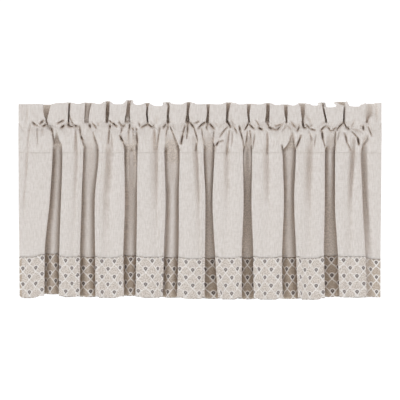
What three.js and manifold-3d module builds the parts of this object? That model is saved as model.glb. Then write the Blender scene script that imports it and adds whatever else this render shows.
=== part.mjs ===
import * as THREE from "three";
import Module from "manifold-3d";

// A window valance of pale linen, gathered on its rod pocket to a little over half its cut
// width, with a doubled frill above the pocket and a patterned band along the hem.
// Millimetres, +Z up, the front towards -Y, +X to the right as seen from the front.
// The origin is on the axis of the rod pocket, midway along it.

// Thickness of one layer of cloth, and the space kept where two sewn pieces meet.
const CLOTH = 1.2;
const SEAM_GAP = 0.4;

// Heights of the lines across the cloth, from the rod axis.
const FRILL_TOP = 72;
const FRILL_MIDDLE = 50;
const FRILL_FOOT = 31;
const GATHER_LINE = 25;
const POCKET_SHOULDER = 12;
const STITCH_LINE = -25;
const HEADING_FOOT = -28;
const FOLDS_SETTLED = -50;
const SKIRT_MIDDLE = -126;
const BAND_SEAM = -246;
const HEM = -332;
const BAND_HEIGHT = 85;

// The clear space for a rod in the pocket, half of it front to back, and the back layer behind
// it: how deep it ripples, and how much wider its ripples are than those they wrap round.
const ROD_SPACE_HALF = 6;
const ROD_CLEARANCE = 0.3;
const BACK_RIPPLE = 5;
const BACK_WRAP = 4;
const POCKET_TIP = 0.15;
const SLEEVE_OVERRUN = 5;

// The ends hang flat: the lines where the side hems begin, and how far the edges turn back.
const LEFT_HEM = 24;
const RIGHT_HEM = 7;
const EDGE_TURN = 2;
const END_TOP = 73;

// How a fold turns from the front into its loop, how deep its walls run before they turn into
// its back, as a share of its depth, and how far a sharp turn may stretch the sheet's thickness.
// Where the middle of the back stands forward as a full ridge, the walls run deeper.
const CORNER = 2.2;
const CORNER_SHARE = 0.3;
const WALL_DEPTH = 0.75;
const WALL_DEPTH_BY_RIDGE = 0.95;
const FULL_RIDGE = 0.3;
const MITRE_LIMIT = 0.6;

// How much of the height of a fold's own edge the turn and the wall of the fold have.
const TURN_SHARE = 0.12;
const WALL_SHARE = 0.8;

// Folds drawn in by the stitching: how deep they are on the gather line, and their gap and
// depth in the front of the pocket.
const GATHER_DEPTH = 8;
const POCKET_GAP = 2.5;
const POCKET_DEPTH = 7;

// The seventeen folds of the heading, left to right: place and gap at the top edge and on the
// gather line, inner width and depth of the loop behind, and the heights of the loop's top edge
// and of the top edge of the flat front on its left.
const HEADING_FOLDS = table(
  ["topX", "gatherX", "topGap", "gatherGap", "loop", "depth", "loopTop", "frontTop"],
  [-316.5, -318, 21, 3.5, 19, 15, 71, 71],
  [-270, -272, 5.5, 4, 15, 26, 75, 73.5],
  [-230, -235, 15.5, 9, 18, 17, 75, 71.5],
  [-190.5, -192.5, 8, 6.5, 15, 24, 78, 71.5],
  [-146, -150, 7.5, 8, 15, 24, 80, 70.5],
  [-109, -108.5, 5, 4, 15, 27, 74, 69.5],
  [-66, -66.5, 4.4, 6, 15, 26, 76, 67],
  [-25.5, -26, 6, 7, 15, 26, 76, 70.5],
  [17.5, 15, 7, 5, 15, 27, 72, 70.5],
  [57.5, 55.5, 5.5, 4.2, 15, 26, 75.5, 70.5],
  [100, 101.5, 6.5, 4.2, 14, 26, 72.5, 70.5],
  [141, 139, 8.5, 7, 14, 25, 74, 70.5],
  [177.5, 179, 7.6, 3.8, 13, 23, 71, 69.5],
  [214, 213, 9, 3.6, 20, 19, 73.5, 68],
  [255, 261, 4.2, 4.2, 15, 26, 75, 68],
  [299.5, 297.5, 4.8, 4.2, 20, 25, 76.5, 64.5],
  [354, 345, 26, 6, 22, 12, 73, 66],
);

// Just above the gather line the loops have already begun to close.
const FRILL_FOOT_SHARE = 0.85;

// The nine deep folds of the skirt, below every other fold of the heading: place and gap at
// four heights, depth, how much higher the hem hangs in the fold, and the height of the hem on
// the front at its left. Each loop is wider than its gap by the same reach.
const VALLEYS = table(
  ["stitchX", "middleX", "seamX", "hemX",
    "stitchGap", "middleGap", "seamGap", "hemGap", "depth", "lift", "frontHem"],
  [-295, -299.5, -307, -308, 20, 23, 30.5, 31, 29, 3.8, -329.8],
  [-225.5, -231.5, -233, -233, 32, 27.5, 31.5, 33, 27, -1.6, -327.8],
  [-143, -143, -145.5, -146, 27.5, 25, 27, 24.5, 29, 1.2, -329.4],
  [-58, -57.5, -60, -62.5, 31.5, 27.5, 30.5, 30.5, 28, -1, -329.4],
  [18.5, 18.5, 21, 23.5, 22.5, 14.5, 21.5, 28.5, 30, -2.6, -331.6],
  [98.5, 98.5, 98.5, 99, 19, 16, 24, 25.5, 32, -3, -332.5],
  [185, 184.5, 185, 187.5, 27.5, 21, 30, 33, 30, -1.6, -333],
  [269, 269, 271.5, 274.5, 21, 21, 29, 31, 32, 0.6, -333.6],
  [339, 342, 349.5, 352.5, 13, 14, 14, 12, 14, 0, -328.8],
);
const VALLEY_REACH = 14;
const LAST_FRONT_HEM = -328.4;

// How far the middle of each valley's back stands forward of its corners, as a share of its
// depth, at the same four heights.
const VALLEY_RIDGES = table(
  ["stitch", "middle", "seam", "hem"],
  [0.6, 0.66, 0.72, 0.6],
  [0.54, 0.76, 0.74, 0.6],
  [0.27, 0.5, 0.6, 0.5],
  [0.52, 0.76, 0.74, 0.6],
  [0.6, 0.48, 0.25, 0.3],
  [0.2, 0.13, 0.2, 0.3],
  [0.56, 0.6, 0.55, 0.5],
  [0.55, 0.48, 0.3, 0.35],
  [0, 0, 0, 0],
);

// How much lower the seam hangs on each of the ten fronts of the skirt than the band is wide
// elsewhere.
const SEAM_DROPS = [-1.4, 1.6, 1.2, 0.6, 0.6, 0.6, 0.6, 0, 1.2, 5.4];
const LAST_FRONT_TOP = 74;

// The softer creases between them, which die away down the skirt: place at two heights, width
// and depth below the stitch line.
const CREASES = table(
  ["stitchX", "middleX", "width", "depth"],
  [-256, -260, 10, 2.5],
  [-190, -195, 18, 5],
  [-93.5, -94, 15, 3.5],
  [-10, -4, 12.5, 3.5],
  [55.5, 55, 10, 2],
  [137, 138, 12, 2],
  [227, 223, 16.5, 3.5],
  [315, 310, 14.5, 3],
);
const CREASE_LOOP_SHARE = 0.5;

// Where the fronts of the folds stand, front to back, at each height.
const FRONT_PLANE = table(
  ["z", "y"],
  [FRILL_TOP, -7.5],
  [FRILL_MIDDLE, -9.5],
  [FRILL_FOOT, -9.5],
  [GATHER_LINE, -6.5],
  [POCKET_SHOULDER, -15],
  [-POCKET_SHOULDER, -16.5],
  [STITCH_LINE, -14.6],
  [FOLDS_SETTLED, -15],
  [HEM, -15],
);

// The two side edges, which draw in a little towards the hem.
const SIDE_EDGES = table(
  ["z", "left", "right"],
  [FRILL_TOP, -375.5, 375.5],
  [SKIRT_MIDDLE, -375.5, 375],
  [BAND_SEAM, -374.5, 374],
  [HEM, -374, 374],
);

function table(columns, ...rows) {
  return rows.map((row) => Object.fromEntries(columns.map((name, i) => [name, row[i]])));
}

// Every column of a table with a z column, at a height between two of its rows.
function valuesAt(rows, z) {
  const upper = rows.findLast((row) => row.z >= z) ?? rows[0];
  const lower = rows.find((row) => row.z < z) ?? upper;
  const share = upper === lower ? 0 : (upper.z - z) / (upper.z - lower.z);
  const mixed = Object.keys(upper).map((name) => [
    name,
    THREE.MathUtils.lerp(upper[name], lower[name], share),
  ]);
  return Object.fromEntries(mixed);
}

// One fold from the top edge to the hem: place, gap, loop width and depth at each height. The
// heading's folds are drawn in by the stitching and shallow in front of the rod, and below it
// open into a valley or flatten into a soft crease.
function foldByHeight(heading, skirt) {
  const [settled, middle, seam, hem] = skirt;
  const { gatherX, gatherGap } = heading;
  const shoulderX = (gatherX + settled.x) / 2;
  const undersideX = (shoulderX + settled.x) / 2;
  const undersideGap = settled.gap / 2;
  const stitchLoop = Math.min(settled.gap, settled.loop);
  const footGap = (heading.topGap + 2 * gatherGap) / 3;
  const footLoop = FRILL_FOOT_SHARE * heading.loop;
  const footDepth = FRILL_FOOT_SHARE * heading.depth;
  return table(
    ["z", "x", "gap", "loop", "depth", "ridge"],
    [FRILL_TOP, heading.topX, heading.topGap, heading.loop, heading.depth, 0],
    [FRILL_FOOT, gatherX, footGap, footLoop, footDepth, 0],
    [GATHER_LINE, gatherX, gatherGap, gatherGap, GATHER_DEPTH, 0],
    [POCKET_SHOULDER, shoulderX, POCKET_GAP, POCKET_GAP, POCKET_DEPTH, 0],
    [-POCKET_SHOULDER, undersideX, undersideGap, undersideGap, POCKET_DEPTH, 0],
    [STITCH_LINE, settled.x, settled.gap, stitchLoop, settled.depth / 2, settled.ridge / 2],
    [FOLDS_SETTLED, settled.x, settled.gap, settled.loop, settled.depth, settled.ridge],
    [SKIRT_MIDDLE, middle.x, middle.gap, middle.loop, middle.depth, middle.ridge],
    [BAND_SEAM, seam.x, seam.gap, seam.loop, seam.depth, seam.ridge],
    [HEM, hem.x, hem.gap, hem.loop, hem.depth, hem.ridge],
  );
}

function valleyStations(valley, ridges) {
  return ["stitch", "middle", "seam", "hem"].map((station) => {
    const gap = valley[station + "Gap"];
    const loop = gap + VALLEY_REACH;
    return { x: valley[station + "X"], gap, loop, depth: valley.depth, ridge: ridges[station] };
  });
}

function creaseStations(crease) {
  const fading = table(
    ["x", "width", "depth"],
    [crease.stitchX, 1, 1],
    [crease.middleX, 0.7, 0.5],
    [crease.middleX, 0.6, 0.15],
    [crease.middleX, 0.6, 0.05],
  );
  return fading.map((share) => ({
    x: share.x,
    gap: share.width * crease.width,
    loop: share.width * crease.width * CREASE_LOOP_SHARE,
    depth: share.depth * crease.depth,
    ridge: 0,
  }));
}

const isValley = (index) => index % 2 === 0;

const FOLDS = HEADING_FOLDS.map((heading, index) => {
  const stations = isValley(index)
    ? valleyStations(VALLEYS[index / 2], VALLEY_RIDGES[index / 2])
    : creaseStations(CREASES[(index - 1) / 2]);
  return foldByHeight(heading, stations);
});

// The plan outline of one fold: from the front on its left, round the loop behind, to the front
// on its right. "back" is 0 on the fronts and 1 at the back of the loop, and "inside" says how
// much of the height of the fold's own edge a column has.
function foldOutline(index, z, thickness) {
  const fold = valuesAt(FOLDS[index], z);
  const { depth, ridge } = fold;
  const mouth = (fold.gap + thickness) / 2;
  const full = Math.min(ridge / FULL_RIDGE, 1);
  const wallDepth = THREE.MathUtils.lerp(WALL_DEPTH, WALL_DEPTH_BY_RIDGE, full);
  const half = [
    [mouth + CORNER, 0, 0],
    [mouth, Math.min(CORNER / depth, CORNER_SHARE), TURN_SHARE],
    [(fold.loop + thickness) / 2, wallDepth, WALL_SHARE],
  ];
  const side = (sign, front) =>
    half.map(([out, back, inside]) => ({ x: fold.x + sign * out, back, inside, depth, front }));
  const middle = { x: fold.x, back: 1 - ridge, inside: 1, depth, front: index + 0.5 };
  const outline = [...side(-1, index), middle, ...side(1, index + 1).reverse()];
  return outline.map((column) => ({ ...column, fold: index }));
}

// All the columns of the cloth at one height, left to right.
function columnsAt(z, thickness) {
  const edges = valuesAt(SIDE_EDGES, z);
  const last = FOLDS.length;
  const flat = (x, back, front) => ({ x, back, depth: EDGE_TURN, front, fold: null });
  return [
    flat(edges.left, 1, 0),
    flat(edges.left + LEFT_HEM, 0, 0),
    ...FOLDS.flatMap((_, index) => foldOutline(index, z, thickness)),
    flat(edges.right - RIGHT_HEM, 0, last),
    flat(edges.right, 1, last),
  ];
}

// The height of the top edge, in one column: fronts and loops each have their own.
function topHeight(column) {
  if (column.fold === null) return END_TOP;
  const front = HEADING_FOLDS[Math.floor(column.front)]?.frontTop ?? LAST_FRONT_TOP;
  const loop = HEADING_FOLDS[column.fold].loopTop;
  return THREE.MathUtils.lerp(front, loop, column.inside);
}

// A value of the ten fronts of the skirt at one column. The middle of a fold is between two.
function fromFronts(values, column) {
  const at = (front) => values[Math.ceil(front / 2)];
  return (at(Math.floor(column.front)) + at(Math.ceil(column.front))) / 2;
}

// The height of the hem in one column: the fronts of the skirt, with the valleys drawn up.
const FRONT_HEMS = [...VALLEYS.map((valley) => valley.frontHem), LAST_FRONT_HEM];

function hemHeight(column) {
  const front = fromFronts(FRONT_HEMS, column);
  if (column.fold === null || !isValley(column.fold)) return front;
  return front + column.inside * VALLEYS[column.fold / 2].lift;
}

function seamHeight(column) {
  return hemHeight(column) + BAND_HEIGHT - fromFronts(SEAM_DROPS, column);
}

// One row of points across the middle of the cloth. Its height is one number, or a function of
// the column along an uneven edge.
function clothRow(z, thickness, height = () => z) {
  const front = valuesAt(FRONT_PLANE, z).y;
  return columnsAt(z, thickness).map(
    (column) => new THREE.Vector3(column.x, front + column.back * column.depth, height(column)),
  );
}

// A row of the pocket's back layer: the same columns, rippling behind the rod.
function pocketBackRow(z) {
  const nearest = ROD_SPACE_HALF + ROD_CLEARANCE + CLOTH / 2;
  const along = (column) => (column.fold === null ? 0 : column.back);
  return columnsAt(z, CLOTH + BACK_WRAP).map(
    (column) => new THREE.Vector3(column.x, nearest + along(column) * BACK_RIPPLE, z),
  );
}

// A row moved sideways to the cloth, backwards if the distance is positive.
function offsetRow(row, distance) {
  return row.map((point, i) => {
    const before = row[Math.max(i - 1, 0)];
    const after = row[Math.min(i + 1, row.length - 1)];
    const arriving = new THREE.Vector2(point.x - before.x, point.y - before.y);
    const leaving = new THREE.Vector2(after.x - point.x, after.y - point.y);
    if (i === 0) arriving.copy(leaving);
    if (i === row.length - 1) leaving.copy(arriving);
    const along = arriving.normalize().clone().add(leaving.normalize()).normalize();
    const mitre = distance / Math.max(along.dot(arriving), MITRE_LIMIT);
    return new THREE.Vector3(point.x - along.y * mitre, point.y + along.x * mitre, point.z);
  });
}

const mixRows = (a, b, share) => a.map((point, i) => point.clone().lerp(b[i], share));

// A closed skin round two grids of points. Rows run downwards, columns to the right.
function closedSheet(frontRows, backRows) {
  const lastRow = frontRows.length - 1;
  const lastColumn = frontRows[0].length - 1;
  const points = [...frontRows.flat(), ...backRows.flat()];
  const front = (row, column) => row * (lastColumn + 1) + column;
  const back = (row, column) => points.length / 2 + front(row, column);
  const corners = [];
  const quad = (a, b, c, d) => corners.push(a, b, c, a, c, d);
  for (let r = 0; r < lastRow; r++) {
    for (let c = 0; c < lastColumn; c++) {
      quad(front(r, c), front(r + 1, c), front(r + 1, c + 1), front(r, c + 1));
      quad(back(r, c), back(r, c + 1), back(r + 1, c + 1), back(r + 1, c));
    }
    quad(front(r, 0), back(r, 0), back(r + 1, 0), front(r + 1, 0));
    quad(front(r, lastColumn), front(r + 1, lastColumn), back(r + 1, lastColumn), back(r, lastColumn));
  }
  for (let c = 0; c < lastColumn; c++) {
    quad(front(0, c), front(0, c + 1), back(0, c + 1), back(0, c));
    quad(back(lastRow, c), back(lastRow, c + 1), front(lastRow, c + 1), front(lastRow, c));
  }
  const geometry = new THREE.BufferGeometry().setFromPoints(points);
  geometry.setIndex(corners);
  return geometry;
}

const layeredSheet = (rows, thickness) =>
  closedSheet(
    rows.map((row) => offsetRow(row, -thickness / 2)),
    rows.map((row) => offsetRow(row, thickness / 2)),
  );

// The heading: two layers stitched together in the frill and along both lines, and apart
// between the lines, where the rod runs from end to end.
function headingGeometry(wasm) {
  const doubled = 2 * CLOTH;
  const frill = [
    clothRow(FRILL_TOP, doubled, topHeight),
    clothRow(FRILL_MIDDLE, doubled),
    clothRow(FRILL_FOOT, doubled),
    clothRow(GATHER_LINE, doubled),
  ];
  const foot = [clothRow(STITCH_LINE, doubled), clothRow(HEADING_FOOT, doubled)];
  const pocketHeights = [POCKET_SHOULDER, -POCKET_SHOULDER];
  const pocketFront = pocketHeights.map((z) => clothRow(z, CLOTH));
  const pocketBack = pocketHeights.map(pocketBackRow);

  const withTips = (above, walls, below) => [
    mixRows(above, walls[0], POCKET_TIP),
    ...walls,
    mixRows(below, walls.at(-1), POCKET_TIP),
  ];
  const outside = (pocket, side) => {
    const above = frill.map((row) => offsetRow(row, side * CLOTH));
    const walls = pocket.map((row) => offsetRow(row, (side * CLOTH) / 2));
    const below = foot.map((row) => offsetRow(row, side * CLOTH));
    return [...above, ...withTips(above.at(-1), walls, below[0]), ...below];
  };
  const inside = (pocket, side) => {
    const walls = pocket.map((row) => offsetRow(row, (-side * CLOTH) / 2));
    return withTips(frill.at(-1), walls, foot[0]).map(pastBothEnds);
  };
  const cloth = closedSheet(outside(pocketFront, -1), outside(pocketBack, 1));
  const hollow = closedSheet(inside(pocketFront, -1), inside(pocketBack, 1));
  return geometryOf(solidOf(wasm, cloth).subtract(solidOf(wasm, hollow)));
}

// A row with one more point beyond each end, so that the hollow runs out of the cloth.
function pastBothEnds(row) {
  const outwards = new THREE.Vector3(SLEEVE_OVERRUN, 0, 0);
  return [row[0].clone().sub(outwards), ...row, row.at(-1).clone().add(outwards)];
}

function panelGeometry() {
  const topHeightOfPanel = HEADING_FOOT - SEAM_GAP;
  const bottom = (column) => seamHeight(column) + SEAM_GAP / 2;
  const rows = [
    clothRow(topHeightOfPanel, CLOTH),
    clothRow(FOLDS_SETTLED, CLOTH),
    clothRow(SKIRT_MIDDLE, CLOTH),
    clothRow(BAND_SEAM, CLOTH, bottom),
  ];
  return layeredSheet(rows, CLOTH);
}

function bandGeometry() {
  const top = (column) => seamHeight(column) - SEAM_GAP / 2;
  const rows = [clothRow(BAND_SEAM, CLOTH, top), clothRow(HEM, CLOTH, hemHeight)];
  return layeredSheet(rows, CLOTH);
}

function solidOf(wasm, geometry) {
  const mesh = new wasm.Mesh({
    numProp: 3,
    vertProperties: geometry.getAttribute("position").array,
    triVerts: new Uint32Array(geometry.index.array),
  });
  return new wasm.Manifold(mesh);
}

function geometryOf(solid) {
  const { vertProperties, triVerts } = solid.getMesh();
  const geometry = new THREE.BufferGeometry();
  geometry.setAttribute("position", new THREE.BufferAttribute(vertProperties, 3));
  geometry.setIndex(new THREE.BufferAttribute(triVerts, 1));
  return geometry;
}

function clothMesh(name, geometry, color, roughness) {
  geometry.computeVertexNormals();
  const material = new THREE.MeshStandardMaterial({ color, roughness, metalness: 0 });
  const mesh = new THREE.Mesh(geometry, material);
  mesh.name = name;
  return mesh;
}

const wasm = await Module();
wasm.setup();

const valance = new THREE.Group();
valance.add(
  clothMesh("heading", headingGeometry(wasm), 0xd8d2cc, 0.92),
  clothMesh("panel", panelGeometry(), 0xd6d0ca, 0.92),
  clothMesh("border_band", bandGeometry(), 0xc8c0b8, 0.9),
);

export default valance;
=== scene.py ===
"""A window valance of pale linen, gathered on its rod pocket, with a patterned border band.

Sizes in the tables are millimetres. Heights are from the rod axis, +X is to the right as seen
from the front, and the front is towards -Y.
"""
import math
from functools import partialmethod
from types import SimpleNamespace

import bpy
import numpy as np
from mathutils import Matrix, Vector


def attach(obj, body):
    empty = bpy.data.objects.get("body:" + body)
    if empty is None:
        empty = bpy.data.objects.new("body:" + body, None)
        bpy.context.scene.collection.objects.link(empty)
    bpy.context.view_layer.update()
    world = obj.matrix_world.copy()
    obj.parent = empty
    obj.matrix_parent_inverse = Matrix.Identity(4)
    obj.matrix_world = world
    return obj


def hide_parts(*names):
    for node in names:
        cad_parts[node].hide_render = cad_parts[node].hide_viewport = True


MM = 0.001

# Heights of the lines across the cloth.
FRILL_TOP = 72
GATHER_LINE = 25
STITCH_LINE = -25
HEADING_FOOT = -28.15
MID_SKIRT = -126
BAND_SEAM = -246
HEM = -332
BAND_HEIGHT = 85

# Further heights at which the tables below give the folds.
FOLD_TOP = 76
FLOP, FLOP_FOOT = 70, 65
MID_FRILL = 52
LOW_FRILL = 34
SLOT_FOOT = 23
ROD_LEVEL = -1
LOW_POCKET = -13

# Half the width of the cloth as it hangs.
SIDE = 375.5

# The cloth as cut, the thickness of one layer, the space between two layers, and how far the
# skirt is tucked up behind the foot of the heading.
CLOTH = 0.7
LAYER_GAP = 0.25
TUCK = 2


def table(names, *rows):
    """The columns of a table, each an array, by name. What a row leaves out at its end is 0."""
    names = names.split()
    rows = [(*row, *[0] * (len(names) - len(row))) for row in rows]
    return dict(zip(names, np.array(rows, float).T))


# The seventeen folds of the heading: place and gap of the slot at the top, half way down and at
# its foot, width and depth of the loop behind it, how round its edges turn, the top edges of the
# loop and of the flat front on its left, how far a pleat fills the slot at its foot and at the
# top, and how far the loop leans.
HEADING_FOLDS = table(
    "top_x mid_x foot_x top_gap mid_gap foot_gap loop depth left_turn right_turn loop_top front_top "
    "pleat_foot pleat_top lean",
    (-316.5, -318.5, -318, 21, 10.5, 3.5, 19, 19, 1.5, 1.5, 71, 71),
    (-270, -271.5, -272, 5.5, 3.8, 4, 15, 26, 0.9, 2, 75, 73.5),
    (-230, -234, -235, 15.5, 10, 9, 18, 17, 1.5, 1.5, 75, 71.5, 0.5, 0.4),
    (-190.5, -191.5, -192.5, 8, 8.2, 6.5, 15, 24, 1.8, 0.9, 78, 71.5),
    (-146, -149, -150, 7.5, 8, 12.5, 15, 24, 1.2, 0.9, 80, 70.5, 0.85),
    (-109, -110, -108.5, 5, 4.6, 4, 15, 27, 1.2, 1.2, 74, 69.5),
    (-65, -66.5, -66.5, 4.8, 4.4, 6, 15, 26, 0.9, 2.6, 76, 67, 0.3, 0, -3.5),
    (-22.5, -25.5, -26, 9, 5.2, 9, 15, 26, 1.2, 2, 76, 70.5, 0.2),
    (17, 16.5, 15, 8.5, 5, 6, 15, 27, 1.2, 1.6, 72, 70.5, 0, 0, 1),
    (60, 56.5, 55.5, 13, 4.6, 4.2, 15, 26, 1.2, 3, 75.5, 70.5),
    (102, 100, 101.5, 9.5, 5, 4.2, 14, 26, 0.9, 1.8, 72.5, 70.5),
    (141, 140.5, 139, 8.5, 7.8, 9, 14, 25, 1.2, 1.2, 74, 70.5, 0.2),
    (177.5, 178, 179, 7.6, 6.8, 3.8, 13, 23, 1.5, 1.5, 71, 69.5),
    (213, 213, 212.5, 10.5, 8.4, 3.8, 20, 19, 1.2, 3, 73.5, 68, 0, 0, -2),
    (255, 257.5, 261, 4.2, 4.2, 4.2, 15, 26, 0.9, 0.9, 75, 68, 0, 0, -2),
    (299.5, 298.5, 297.5, 4.8, 4.4, 4.2, 20, 25, 0.9, 2.6, 76.5, 64.5, 0, 0, -6.5),
    (353, 351, 345.5, 26, 20, 6.5, 22, 15, 3, 3, 73, 66),
)
LAST_FRONT_TOP = 74
# Slots narrower than this pinch together more, and loops less deep than this are soft troughs.
NARROW = 7.5
SHALLOW = 16

# How much of a loop's rise the cloth beside its slot follows at the top edge. By the number of
# the fold, the loops that flop over to one side: that share on the left and on the right, how
# wide the slot opens at the top edge, and how far it moves there.
RISE = 0.65
FLOPPED = {
    5: (0.5, 0.5, 10, 0),
    6: (0.65, 0.3, 6, -2),
    13: (0.45, 0.6, 15, -1.5),
    14: (0.65, 0.1, 5, -1),
    15: (0.05, 0.05, 23, -5.5),
}

# The nine deep folds of the skirt, below every other fold of the heading: place and gap at the
# stitch line, half way down, at the seam and at the hem, depth above the seam and below it, how
# much higher the hem hangs in the fold, and the hem on the front at its left.
VALLEYS = table(
    "stitch_x middle_x seam_x hem_x stitch_gap middle_gap seam_gap hem_gap depth hem_depth "
    "lift front_hem",
    (-295, -299.5, -307, -308, 20, 23, 30.5, 31, 29, 29, 3.8, -329.8),
    (-225.5, -231.5, -233, -233, 32, 27.5, 31.5, 33, 27, 27, -1.6, -327.8),
    (-143, -143, -145.5, -146, 27.5, 25, 27, 24.5, 29, 29, 1.2, -329.4),
    (-58, -57.5, -60, -62.5, 31.5, 27.5, 30.5, 30.5, 28, 28, -1, -329.4),
    (18.5, 18.5, 21, 23.5, 22.5, 14.5, 21.5, 28.5, 30, 30, -2.6, -331.6),
    (98.5, 98.5, 98.5, 99, 19, 16, 24, 25.5, 32, 32, -3, -332.5),
    (185, 184.5, 185, 187.5, 27.5, 21, 30, 33, 30, 30, -1.6, -333),
    (269, 269, 271.5, 274.5, 21, 21, 29, 31, 32, 32, 0.6, -333.6),
    (340, 343, 350, 352.5, 12, 13, 15, 14, 17, 8, 0, -328.8),
)
LAST_FRONT_HEM = -328.4
# How much wider than its gap each fold is at its back.
VALLEY_REACH = 14

# Where each valley begins in the pocket, its place, gap and depth in front of the rod and a
# little lower, and how much painted shade darkens the cloth inside it between two heights.
VALLEY_TOPS = table(
    "apex_x apex_z rod_x rod_gap rod_depth low_x low_gap low_depth shade shade_top shade_foot",
    (-296, 16, -296.5, 10, 12, -295, 19, 15, 0.5, 10, -18),
    (-232, 21, -229, 26, 8, -226, 28, 12),
    (-147, 21, -143.3, 29, 9.5, -143.2, 28, 13, 0.3, -8, -62),
    (-63, 21, -59.6, 23, 9, -58.5, 29, 12.5, 0.28, 2, -54),
    (14, 21, 17, 22, 10.5, 18.8, 22, 13.5, 0.12, -2, -30),
    (99, 11, 99.5, 9, 8, 99.4, 16, 15),
    (190.5, 5, 190.2, 4.5, 7, 187.5, 16, 14, 0.35, 2, -22),
    (267, 17, 270.4, 18, 10.5, 270.9, 19, 14),
    (349, 10, 347, 5, 6, 341, 10, 9),
)

# How the middle of each valley stands forward of its corners: where between its edges, by how
# much of its depth at six heights, how far a dip splits that ridge at the stitch line and below
# it, and how far the valley is a soft trough instead of a fold with walls.
RIDGES = table(
    "at_x stitch upper middle low seam hem split split_upper soft",
    (0.12, 0.54, 0.62, 0.6, 0.66, 0.66, 0.58),
    (0, 0.66, 0.68, 0.66, 0.67, 0.66, 0.58, 0.5, 0.35),
    (0.1, 0.62, 0.52, 0.44, 0.44, 0.56, 0.48, 1, 1),
    (0.05, 0.68, 0.69, 0.7, 0.72, 0.7, 0.6, 0.6, 0.35),
    (0, 0.62, 0.68, 0.52, 0.25, 0.25, 0.3, 0.2),
    (0, 0.68, 0.5, 0.28, 0.05, 0.25, 0.3, 1, 0.6),
    (0, 0.7, 0.64, 0.6, 0.48, 0.48, 0.48, 0.2),
    (0.1, 0.72, 0.66, 0.52, 0.25, 0.25, 0.32),
    (-0.8, 0.1, 0, 0, 0, 0, 0, 0, 0, 0.8),
)

# The softer creases between them, which begin in the pocket and die away down the skirt. What is
# left of a crease's width and depth at some heights is in the second table, and its own share of
# the depth left below LOW_CREASE in the column fading, where the table has LEFT_AT_LOW.
CREASES = table(
    "apex_x apex_z stitch_x middle_x low_x width depth skew fading",
    (-257, 15, -256, -260, -264, 10, 5.5, 0.2, 0.4),
    (-189, 22, -188, -195, -197, 18, 12, -0.1, 0.5),
    (-94, 15, -94, -94, -95, 17, 10, 0.5, 0.3),
    (-14, 10, -10, -5, -4, 12, 9, 0.5, 0.35),
    (56, 12, 55.5, 55, 55, 13, 7, 0, 0.15),
    (138, 12, 137, 138, 138, 14, 8, 0.3, 0.15),
    (228, 8, 226, 223, 222, 19, 12.5, 0.3, 0.3),
    (318, 8, 316, 310.5, 309, 13.5, 12, 0.3, 0.3),
)
CREASE_FADE = table(
    "height width depth",
    (8, 0.5, 0.3), (-2, 0.8, 0.5), (STITCH_LINE, 1, 0.9), (-55, 1, 1), (-105, 0.9, 0.7),
    (-150, 0.85, 0.4), (-190, 0.8, 0.25), (BAND_SEAM, 0.7, 0.12), (HEM, 0.6, 0.06),
)
LOW_CREASE = -140
LEFT_AT_LOW = 0.4

# Pairs of height and value: where the fronts of the folds stand, how far the middle of each bows
# forward, and the side edges.
FRONT_PLANE = (
    (74, -7), (60, -9), (45, -10.3), (36, -11.5), (30, -10.8), (26, -9), (22, -10.5), (14, -14.5),
    (4, -17.5), (-12, -17), (-24, -14.6), (-40, -15), (HEM, -15),
)
FRONT_BOW = (
    (74, 0.8), (50, 2.2), (34, 2.4), (GATHER_LINE, 0.6), (8, 1.2), (-28, 0.8), (-80, 1.4), (HEM, 1.6),
)
LEFT_EDGE = ((FRILL_TOP, -SIDE), (MID_SKIRT, -SIDE), (BAND_SEAM, -374.5), (HEM, -374))
RIGHT_EDGE = ((FRILL_TOP, SIDE), (MID_SKIRT, 375), (BAND_SEAM, 374), (HEM, 374))

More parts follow.
